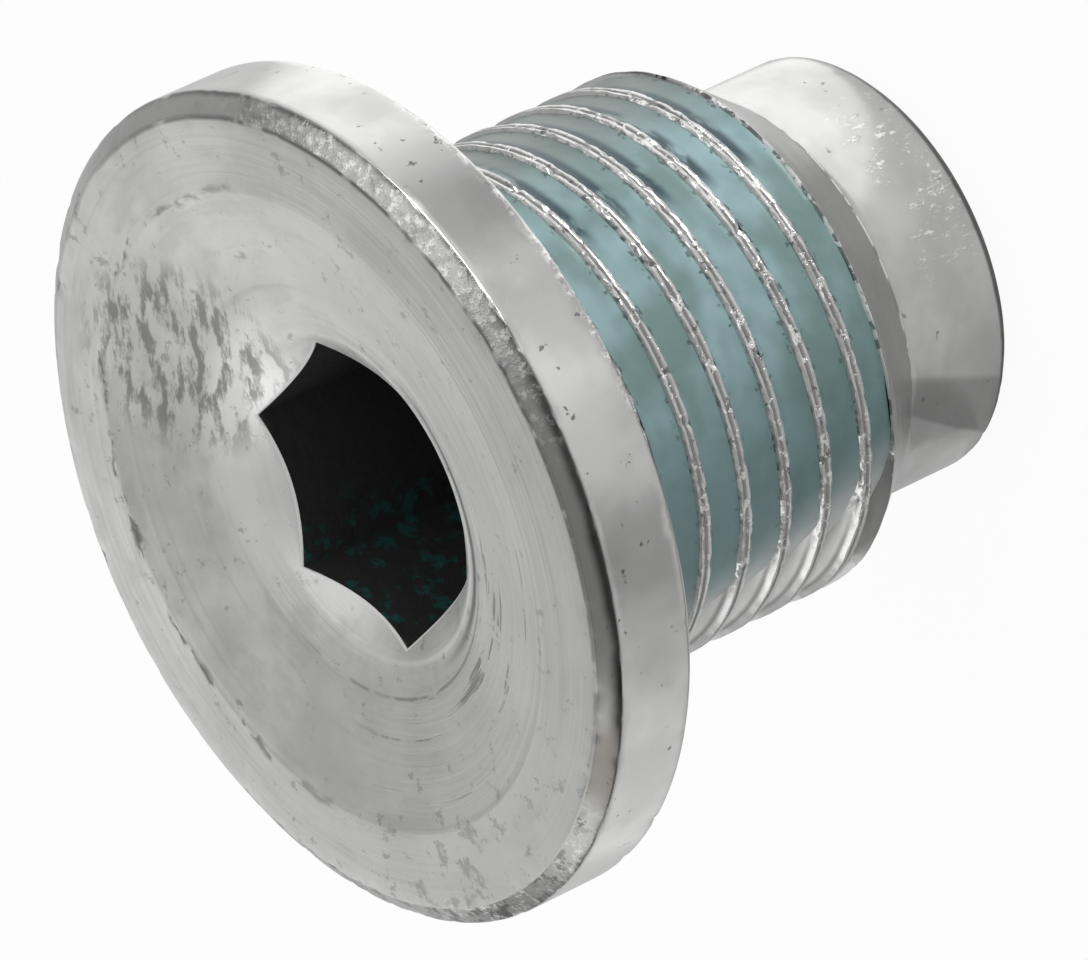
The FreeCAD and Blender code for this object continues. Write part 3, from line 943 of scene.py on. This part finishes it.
def add_camera():
    """Long lens at the photograph's angle, rolled so that the plug's head hangs to the lower left."""
    azimuth, elevation, roll = (math.radians(angle) for angle in (16.264, 32.519, 115.267))
    aim = Vector((-0.8365, -2.0977, 12.1811)) * MM
    distance = 336.14 * MM
    level = math.cos(elevation)
    away = Vector((level * math.cos(azimuth), level * math.sin(azimuth), math.sin(elevation)))
    data = bpy.data.cameras.new("camera")
    data.sensor_width = 36.0
    data.lens = 391.19
    data.clip_start = 0.01
    camera = bpy.data.objects.new("camera", data)
    bpy.context.scene.collection.objects.link(camera)
    upright = away.to_track_quat("Z", "Y").to_matrix().to_4x4()
    camera.matrix_world = Matrix.Translation(aim + away * distance) @ upright @ Matrix.Rotation(-roll, 4, "Z")
    bpy.context.scene.camera = camera


# The plug

def make_plug(materials):
    """One-piece steel plug."""
    # The rows climb a pitch in each turn, so they start below the cone and end above the relief.
    first_row = PILOT_LENGTH - PITCH * 1.25
    rows = math.ceil((RELIEF_TOP + PITCH * 0.25 - first_row) * ROWS_PER_PITCH / PITCH)
    sizes = {
        "Columns": COLUMNS + 1,
        "Rows": rows,
        "First row": first_row,
        "Crest radius": CREST_R,
        "Root radius": ROOT_R,
        "Wear scale": 5.0,
        "Wear depth": 0.03,
        "Nick scale": 14.0,
        "Nick depth": 0.10,
        "Ragged scale": 16.0,
        "Ragged edge": 0.16,
    }
    shank = grow(cut_thread_tree(sizes), sizes, materials["thread"])
    pilot_end = [((PILOT_R, PILOT_EDGE, 0.2), 26, (1.0, 0.0))]
    pilot = dent(pilot_rings(), seed=5, places=pilot_end, depth_range=(0.01, 0.04))
    head_edges = [
        ((FLANGE_R, FACE - CHAMFER_DOWN, 0.1), 80, (0.7, 0.7)),
        ((FLANGE_R - CHAMFER_ACROSS, FACE, 0.05), 80, (0.5, 0.8)),
        ((FLANGE_R, SEAT + REAR_EDGE, 0.1), 60, (1.0, -0.4)),
    ]
    head = dent(head_rings(), seed=11, places=head_edges, depth_range=(0.01, 0.06))
    socket, point = socket_rings()
    return weld("turned_plug", [
        (skin("pilot", pilot, pole=0.0, pole_first=True), "pilot"),
        (shank, "thread"),
        (skin("rim", head[:LAST_RIM_RING + 1]), "rim"),
        (skin("face", head[LAST_RIM_RING:]), "face"),
        (skin("countersink", [head[-1], *socket[:LAST_COUNTERSINK_RING + 1]]), "face"),
        (skin("socket", socket[LAST_COUNTERSINK_RING:], pole=point), "socket"),
    ], materials)


def make_sealant_fill(material):
    """Cured sealant in the thread."""
    lowest = CREST_START - PITCH / 2
    turns = (RELIEF_FOOT + FILL_RUN_OUT - lowest) / PITCH
    sizes = {
        "Columns": int(turns * SEALANT_COLUMNS),
        "Rows": 19,
        "Lowest middle": lowest,
        "Fill radius": FILL_R,
        "Climb on the flanks": 0.06,
        "Hidden depth": 0.03,
        "Waviness scale": 2.5,
        "Waviness": 0.06,
        "Edge waviness": 0.35,
    }
    ribbons = grow(fill_thread_tree(sizes), sizes, material)
    return weld("sealant_fill", [(ribbons, "sealant")], {"sealant": material})


add_stage()
add_lights()
add_camera()
finishes = {
    "face": make_faced_steel(),
    "rim": make_rim_steel(),
    "thread": make_thread_steel(),
    "pilot": make_pilot_steel(),
    "socket": make_socket_steel(),
}
add_piece("turned_plug", make_plug(finishes), "plug_body")
add_piece("sealant_fill", make_sealant_fill(make_sealant()), "thread_sealant")
bpy.context.scene.view_settings.view_transform = "Standard"
